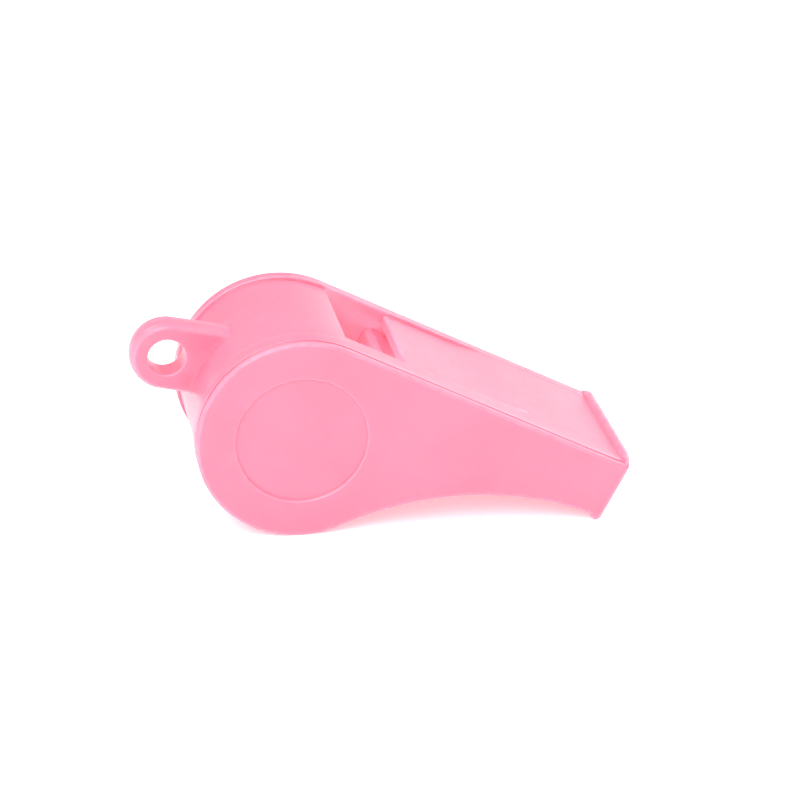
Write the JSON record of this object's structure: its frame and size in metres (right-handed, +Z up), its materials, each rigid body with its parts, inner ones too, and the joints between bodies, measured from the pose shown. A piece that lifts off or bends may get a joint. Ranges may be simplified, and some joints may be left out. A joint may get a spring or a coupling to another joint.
{
  "type": "sports whistle",
  "caption": "Pink plastic pea whistle with a round barrel, a flared mouthpiece, a sound window in its top and a lanyard eye; a loose cork pea rolls round inside the chamber.",
  "frame": {"origin": "bottom centre of the bounding box; the whistle stands on its barrel and its lower lip, as in the picture", "axes": "+X towards the mouthpiece, -Y towards the side cover, +Z up"},
  "size_m": [0.0526, 0.0196, 0.022],
  "materials": {
    "body_plastic": "glossy, slightly translucent pink injection moulding",
    "cover_plastic": "glossy, slightly translucent pink injection moulding",
    "cork": "matt natural cork"
  },
  "bodies": {
    "whistle": {"body_shell": "body_plastic", "side_cover": "cover_plastic"},
    "pea": {"pea": "cork"}
  },
  "joints": [
    {"name": "pea_orbit", "type": "hinge", "parent": "whistle", "child": "pea", "pos_m": [-0.00938, -0.0002, 0.011], "axis": [0, 1, 0], "continuous": true}
  ]
}
